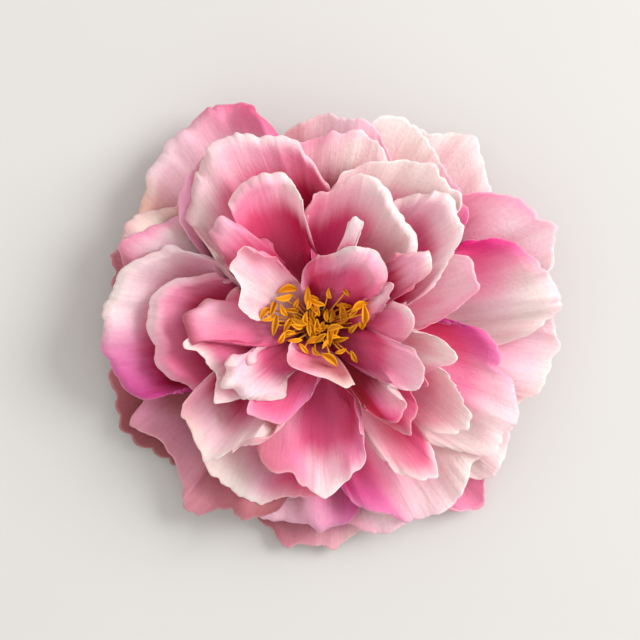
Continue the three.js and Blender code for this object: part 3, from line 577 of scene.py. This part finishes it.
def curled(sheet, along, curl):
    """The sheet with part of its rim bent round and laid back, kept inside its old outline."""
    start, finish, amount, radius, degrees = curl
    turn, way = math.radians(abs(degrees)), math.copysign(1, degrees)
    opening = ease(start, start + CURL_EASE, along)
    closing = 1 - ease(finish - CURL_EASE, finish, along)
    uneven = 1 + 0.25 * dapple(along, np.zeros(1), 5, 1)[:, 0]
    curls = (amount * MM * opening * closing * uneven)[:, None]
    bent = radius * MM * turn

    def forward(run):
        on_bend = np.minimum(run, bent)
        return radius * MM * np.sin(on_bend / (radius * MM)) + (run - on_bend) * math.cos(turn)

    def upward(run):
        on_bend = np.minimum(run, bent)
        return radius * MM * (1 - np.cos(on_bend / (radius * MM))) + (run - on_bend) * math.sin(turn)

    reach = np.linalg.norm(np.diff(sheet, axis=1), axis=2).sum(axis=1)[:, None]
    lost = curls - forward(np.minimum(curls, radius * MM * min(turn, math.pi / 2)))
    sheet = sheet[:, :1] + (sheet - sheet[:, :1]) * (1 + lost / reach)[..., None]
    steps = np.linalg.norm(np.diff(sheet, axis=1), axis=2)
    run = np.concatenate([np.zeros((len(sheet), 1)), np.cumsum(steps, axis=1)], axis=1)
    begins = run[:, -1:] - curls
    row = np.clip((run < begins).sum(axis=1), 1, sheet.shape[1] - 2)
    each = np.arange(len(sheet))
    ahead = sheet[each, row + 1] - sheet[each, row - 1]
    normal = facing(sheet)[each, row]
    smooth = np.ones(CURL_SMOOTHING) / CURL_SMOOTHING
    wide = CURL_SMOOTHING // 2
    ahead, normal = (
        np.stack([np.convolve(np.pad(side, wide, mode="edge"), smooth, "valid") for side in part.T], 1)
        for part in (ahead, normal))
    ahead /= np.linalg.norm(ahead, axis=1, keepdims=True)
    normal -= ahead * (normal * ahead).sum(axis=1, keepdims=True)
    normal /= np.linalg.norm(normal, axis=1, keepdims=True)
    share = ((begins[:, 0] - run[each, row - 1]) / (run[each, row] - run[each, row - 1]))[:, None]
    hinge = sheet[each, row - 1] * (1 - share) + sheet[each, row] * share
    past = np.clip(run - begins, 0, None)
    moved = (hinge[:, None] + ahead[:, None] * forward(past)[..., None]
             + way * normal[:, None] * upward(past)[..., None])
    return np.where((past > 0)[..., None], moved, sheet)


def ruffled(node, sheet, touch, along, out, width, length):
    """The sheet with its rolled and ruffled rim, its creases and its notched edge."""
    roll, ruffle, arch = touch[3:]
    s, u = along[:, None], out[None, :]
    middle = (sheet[:, -1].mean(axis=0) - sheet[:, 0].mean(axis=0))[:2]
    sideways = np.array([-middle[1], middle[0]]) / np.linalg.norm(middle)
    chord = abs((sheet[-1, -1, :2] - sheet[0, -1, :2]) @ sideways)
    fullness = BELLY * (1 - (1 - u) ** 2.5 - u) * min(1, 0.55 + 20 * MM / length)
    belly = chord * (s - 0.5) * fullness
    sheet = sheet.copy()
    sheet[..., :2] += belly[..., None] * sideways
    sheet[..., 2] += arch * MM * (2 * s - 1) ** 2 * np.sin(math.pi * u ** 1.3 * 0.72)
    outwards = middle / np.linalg.norm(middle)
    for place, spread, further, aside, higher in RIM_PULLS.get(node, []):
        pull = np.exp(-((s - place) / spread) ** 2) * u ** 2.5 * MM
        sheet[..., :2] += pull[..., None] * (further * outwards + aside * sideways)
        sheet[..., 2] += pull * higher
    claw = sheet[:, :1]
    notch = 2.2 * abs(dapple(along, np.zeros(1), max(5, int(width / (7 * MM))), 1))
    notch = notch + 0.9 * abs(dapple(along, np.zeros(1), max(9, int(width / (3 * MM))), 1)) - 1
    patches = 0.3 + 1.2 * np.clip(dapple(along, np.zeros(1), max(4, int(width / (9 * MM))), 1), 0, 1)
    teeth = dapple(along, np.zeros(1), max(12, int(width / (1.5 * MM))), 1) * patches
    ragged = TORN_TEETH if node in RAGGED_PETALS else FINE_TEETH
    edge = 0.9 * notch * u ** 7 + ragged * teeth * np.exp(-(1 - u) * length / (1.5 * MM))
    sheet = claw + (sheet - claw) * (1 + MM / length * edge)[..., None]
    swells = max(3, int(width / (12 * MM)))
    waves = dapple(along, out, swells, 2) + dapple(along, out, 2 * swells, 3) * 0.5
    folds = waves * 1.9 * ruffle * MM * u ** 2.2
    roll_share = np.clip(1 - (1 - u) * length / (7 * MM), 0, 1) ** 2
    turned = -roll * MM * roll_share * (1 + 0.6 * dapple(along, out, swells, 1))
    side = np.minimum(s, 1 - s)
    turned -= 0.5 * roll * MM * np.clip(1 - side / 0.1, 0, 1) ** 2 * u
    crease = dapple(along, out, int(width / (4 * MM)), 3) * 0.3 * MM * u
    crease -= abs(dapple(along, out, max(4, int(width / (5 * MM))), 2)) * 0.75 * MM * u ** 1.5
    crinkle = dapple(along, out, int(width / (1.8 * MM)), 9) * 0.12 * MM * u ** 3
    sheet = sheet + facing(sheet) * (crease + crinkle)[..., None]
    sheet[..., 2] += folds + turned
    return curled(sheet, along, RIM_CURLS[node]) if node in RIM_CURLS else sheet


petal_skin, shade, shader = new_material("petal_skin", {
    "Subsurface Weight": 0.3,
    "Subsurface Radius": (0.0040, 0.0014, 0.0016),
    "Subsurface Scale": 1.0,
    "Specular IOR Level": 0.2,
    "Sheen Weight": 0.04,
    "Sheen Roughness": 0.5,
})
paint = shade.node("ShaderNodeVertexColor", {"layer_name": "painted"}, {}, "Color")
petal_map = shade.node("ShaderNodeUVMap", {"uv_map": "petal_map"}, {}, "UV")
lengthways = shade.node("ShaderNodeMapping", {}, {"Vector": petal_map, "Scale": (1.1, 0.07, 1.0)})
veins = shade.node("ShaderNodeTexNoise", {}, {"Vector": lengthways, "Scale": 1.0, "Detail": 5.0}, "Fac")
cells = shade.node("ShaderNodeTexNoise", {}, {"Vector": petal_map, "Scale": 0.7, "Detail": 5.0}, "Fac")
deeper = shade.node("ShaderNodeMix", {"data_type": "RGBA", "blend_type": "MULTIPLY"},
                    {0: 1.0, 6: paint, 7: (0.94, 0.80, 0.89, 1)}, 2)
tinted = (veins * 1.5 + cells * 1.3 - 0.95).mixed(paint, deeper)
relief = shade.node("ShaderNodeBump", {}, {"Height": veins * 0.6 + cells * 0.5, "Strength": 0.55,
                                          "Distance": 0.0007}, "Normal")
wire(petal_skin, shader, {"Base Color": tinted, "Normal": relief, "Roughness": 0.5 + cells * 0.18})

heap = Heap()
for node, touch in PETAL_TOUCHES.items():
    sheet, along, out, width, length = fine_sheet(node, PETAL_STEP)
    sheet = laid(ruffled(node, sheet, touch, along, out, width, length), heap)
    heap.lay(sheet)
    colour = painted_petal(touch, along, out, width, length)
    petal = sheet_object(f"{node}_sheet", sheet, along, out, colour, (width, length), PETAL_THICKNESS)
    show(petal, node, petal_skin)

# ---------------------------------------------------------------------------------------------------
# The stamens: thin filaments that stand on five fleshy pads and end in golden anthers, some of them
# split open and folded like small leaves.
# ---------------------------------------------------------------------------------------------------
STAMENS = {
    1: [(50, 17, 80), (72, 13, 30), (100, 11, 60), (110, 12, -20)],
    2: [(130, 19, 60), (137, 12, -70), (142, 17, 50), (151, 12, 20), (158, 15, -40), (161, 19, 90),
        (167, 22, 60), (174, 20, 30), (180, 17, 80), (179, 12, 60)],
    3: [(194, 12, 0), (200, 15, 40), (214, 11, -30), (240, 11, 70)],
    4: [(264, 11, 50), (291, 14, 30), (311, 14, 70), (318, 19, -20), (329, 11, 40)],
    5: [(356, 14, 50), (5, 18, 60), (12, 11, 20), (14, 19, 80), (20, 15, 30), (26, 11, 70), (26, 18, 0),
        (36, 13, -40), (345, 7, 80), (33, 7, 50), (97, 6, 40), (150, 6, -60), (166, 8, -50),
        (206, 4, 70), (279, 5, -60)],
}
PAD_TURNS = {1: (46, 114), 2: (118, 186), 3: (190, 258), 4: (262, 330), 5: (334, 402)}
PAD_HEIGHT = 1.4 * MM
EXTRA_STAMENS = 4
BLOOM_RADIUS = 83 * MM
ANTHER_LENGTH = 5.4 * MM
ANTHER_WIDTH = 2.1 * MM
ANTHER_THICKNESS = 0.28 * MM
ANTHER_ROWS = (-1, -0.6, -0.2, 0.2, 0.6, 1)  # shares of its half width
ANTHER_STEPS = 13
FILAMENT_RADIUS = 0.2 * MM
FILAMENT_RINGS, FILAMENT_SIDES = 9, 6
PAD_RADIUS = 5 * MM
PAD_RINGS, PAD_STEPS = 5, 9

anther_gold, shade, shader = new_material("anther_gold", {
    "Subsurface Weight": 0.1,
    "Subsurface Radius": (0.0012, 0.0007, 0.0002),
    "Subsurface Scale": 1.0,
    "Specular IOR Level": 0.3,
})
paint = shade.node("ShaderNodeVertexColor", {"layer_name": "painted"}, {}, "Color")
coords = shade.node("ShaderNodeTexCoord", {}, {}, "Object")
pollen = shade.node("ShaderNodeTexNoise", {}, {"Vector": coords, "Scale": 2400.0, "Detail": 3.0}, "Fac")
browned = shade.node("ShaderNodeMix", {"data_type": "RGBA", "blend_type": "MULTIPLY"},
                     {0: 1.0, 6: paint, 7: (0.78, 0.55, 0.35, 1)}, 2)
dusted = (pollen * 2.2 - 0.85).mixed(paint, browned)
grain = shade.node("ShaderNodeBump", {}, {"Height": pollen, "Strength": 0.5, "Distance": 0.00015}, "Normal")
wire(anther_gold, shader, {"Base Color": dusted, "Normal": grain, "Roughness": 0.55 + pollen * 0.2})


def anther_points(centre, turn, lean, size, fold, sway):
    """A golden leaf-like anther: a pointed blade, folded up along its middle and curved."""
    t = np.linspace(0, 1, ANTHER_STEPS)
    taper = np.sin(math.pi * np.clip(t, 0.02, 0.98)) ** 0.7 * (1.15 - 0.45 * t)
    half_width = 0.5 * ANTHER_WIDTH * size * taper
    x = (t - 0.5) * ANTHER_LENGTH * size
    points = []
    for side in ANTHER_ROWS:
        y = side * half_width * (0.75 + 0.35 * abs(sway[0])) + sway[0] * MM * (2 * t - 1) ** 2
        z = abs(side) ** 1.5 * half_width * fold + sway[1] * MM * np.sin(t * math.pi) - 0.2 * MM
        points.append(np.stack([x, y, z], axis=1))
    blade = np.array(points)
    c, s = math.cos(lean), math.sin(lean)
    blade = blade @ np.array([[c, 0, -s], [0, 1, 0], [s, 0, c]])
    c, s = math.cos(turn), math.sin(turn)
    blade = blade @ np.array([[c, s, 0], [-s, c, 0], [0, 0, 1]])
    return blade + centre


def filament_points(foot, tip):
    """A thin tube from the pad to the anther, steep at first and then leaning out."""
    t = np.linspace(0, 1, FILAMENT_RINGS)
    path = foot + (tip - foot) * (t * (0.6 + 0.4 * t))[:, None]
    path[:, 2] = foot[2] + (tip[2] - foot[2]) * np.sqrt(t)
    path[:, :2] += 0.35 * MM * np.sin(t * math.pi)[:, None] * random.uniform(-1, 1, 2)
    turns = np.arange(FILAMENT_SIDES) * 2 * math.pi / FILAMENT_SIDES
    radius = FILAMENT_RADIUS * (1 - 0.35 * t)
    ring = np.stack([np.cos(turns), np.sin(turns), 0 * turns], axis=1)
    return path[:, None] + ring[None] * radius[:, None, None]


def stamen_object(number):
    """One fascicle's pad, filaments and anthers in one mesh, painted from red foot to golden tip."""
    node = f"stamens_{number}"
    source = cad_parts[node]
    low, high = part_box(node)
    tree = BVHTree.FromObject(source, bpy.context.evaluated_depsgraph_get())
    points, colours = [], []
    gold, red = np.array(linear("#fcb40c")), np.array(linear("#8e2b2f"))
    start, finish = PAD_TURNS[number]
    for ring in np.linspace(0, 1, PAD_RINGS):
        for turn in np.linspace(math.radians(start), math.radians(finish), PAD_STEPS):
            reach = 0.05 * MM + (PAD_RADIUS - 0.05 * MM) * ring
            high_spot = low.z + PAD_HEIGHT * (1 - ring ** 3)
            points.append((axis[0] + reach * math.cos(turn), axis[1] + reach * math.sin(turn), high_spot))
            colours.append((red * 0.6).tolist())
    faces = [(a, d, c, b) for a, b, c, d in grid_faces(0, PAD_RINGS, PAD_STEPS, False)]
    extras = [(random.uniform(start, finish), random.uniform(1, 9), random.uniform(-90, 90))
              for _ in range(EXTRA_STAMENS)]
    for direction, reach, twist in STAMENS[number] + extras:
        angle = math.radians(direction)
        out = reach / 100 * BLOOM_RADIUS
        x, y = axis[0] + out * math.cos(angle), axis[1] + out * math.sin(angle)
        hit = tree.ray_cast(Vector((x, y, high.z + 1)), Vector((0, 0, -1)))[0]
        top = max(hit.z, low.z + random.uniform(5, 8) * MM) if hit is not None else high.z
        tip = np.array([x, y, top])
        foot_reach = (0.45 + 0.35 * min(reach / 20, 1)) * PAD_RADIUS
        foot = np.array([axis[0] + foot_reach * math.cos(angle), axis[1] + foot_reach * math.sin(angle),
                         low.z + 0.6 * MM])
        tube = filament_points(foot, tip - np.array([0, 0, 0.3 * MM]))
        faces.extend(grid_faces(len(points), FILAMENT_RINGS, FILAMENT_SIDES, True))
        points.extend(tube.reshape(-1, 3).tolist())
        shares = np.repeat(np.linspace(0, 1, FILAMENT_RINGS), FILAMENT_SIDES)[:, None] ** 1.3
        colours.extend((red + (gold - red) * shares).tolist())
        size = random.uniform(0.65, 1.35)
        sway = (random.uniform(-0.9, 0.9), random.uniform(-0.2, 1.1))
        blade = anther_points(tip, angle + math.radians(twist), random.uniform(-0.6, 0.6), size,
                              random.uniform(0.5, 1.9), sway)
        faces.extend(grid_faces(len(points), len(ANTHER_ROWS), ANTHER_STEPS, False))
        points.extend(blade.reshape(-1, 3).tolist())
        # painted shade: each anther darker and browner down its folded middle, paler at its raised edges
        edge = np.abs(np.array(ANTHER_ROWS))[:, None] * np.ones(ANTHER_STEPS)[None]
        tone = gold * random.uniform(0.7, 1.15)
        light = np.array([0.66, 0.5, 0.4]) + np.array([0.38, 0.52, 0.6]) * edge[..., None]
        shaded = tone[None, None] * light
        colours.extend(shaded.reshape(-1, 3).tolist())
    mesh = bpy.data.meshes.new(f"stamen_tuft_{number}")
    mesh.from_pydata(points, [], faces)
    painted = mesh.color_attributes.new("painted", "FLOAT_COLOR", "POINT")
    full = np.concatenate([np.clip(colours, 0, 1), np.ones((len(colours), 1))], axis=1)
    painted.data.foreach_set("color", full.reshape(-1).astype(np.float32))
    mesh.polygons.foreach_set("use_smooth", np.ones(len(faces), dtype=bool))
    made = bpy.data.objects.new(f"stamen_tuft_{number}", mesh)
    bpy.context.scene.collection.objects.link(made)
    wall = made.modifiers.new("thickness", "SOLIDIFY")
    wall.thickness = ANTHER_THICKNESS
    wall.offset = 0
    show(made, node, anther_gold)


for number in STAMENS:
    stamen_object(number)

# ---------------------------------------------------------------------------------------------------
# The table and the light: a plain pale surface under one large soft light from the upper right, with
# the camera straight above the flower.
# ---------------------------------------------------------------------------------------------------
bpy.ops.object.select_all(action="DESELECT")
bpy.ops.mesh.primitive_plane_add(size=6, location=(0, 0, 0))
table = bpy.context.object
table.name = "table_top"
board, shade, shader = new_material("table_paint", {"Specular IOR Level": 0.2})
coords = shade.node("ShaderNodeTexCoord", {}, {}, "Object")
cloud = shade.node("ShaderNodeTexNoise", {}, {"Vector": coords, "Scale": 9.0, "Detail": 2.0}, "Fac")
wash = cloud.mixed((0.612, 0.613, 0.608, 1), (0.642, 0.643, 0.638, 1))
wire(board, shader, {"Base Color": wash, "Roughness": 0.75 + cloud * 0.1})
table.data.materials.append(board)


def soft_light(name, place, target, size, watts, colour):
    """A round area light at a place, turned to its target."""
    lamp = bpy.data.lights.new(name, "AREA")
    lamp.shape = "DISK"
    lamp.size = size
    lamp.energy = watts
    lamp.color = colour
    holder = bpy.data.objects.new(name, lamp)
    holder.location = place
    holder.rotation_euler = (Vector(target) - Vector(place)).to_track_quat("-Z", "Y").to_euler()
    bpy.context.scene.collection.objects.link(holder)


soft_light("window", (1.35, 0.55, 1.10), (0, 0, 0.02), 1.1, 29.5, (1.0, 0.985, 0.98))

sky = bpy.data.worlds.new("pale_room")
sky.use_nodes = True
sky.node_tree.nodes["Background"].inputs["Color"].default_value = (0.96, 0.925, 0.885, 1)
sky.node_tree.nodes["Background"].inputs["Strength"].default_value = 0.88
bpy.context.scene.world = sky
bpy.context.scene.view_settings.view_transform = "Standard"

CAMERA_HEIGHT = 614 * MM
CAMERA_ASIDE = (0.668 * MM, 1.67 * MM)  # of the flower's axis
lens = bpy.data.cameras.new("camera")
lens.lens = 100
lens.sensor_width = 36
camera = bpy.data.objects.new("camera", lens)
camera.location = (axis[0] + CAMERA_ASIDE[0], axis[1] + CAMERA_ASIDE[1], CAMERA_HEIGHT)
bpy.context.scene.collection.objects.link(camera)
bpy.context.scene.camera = camera
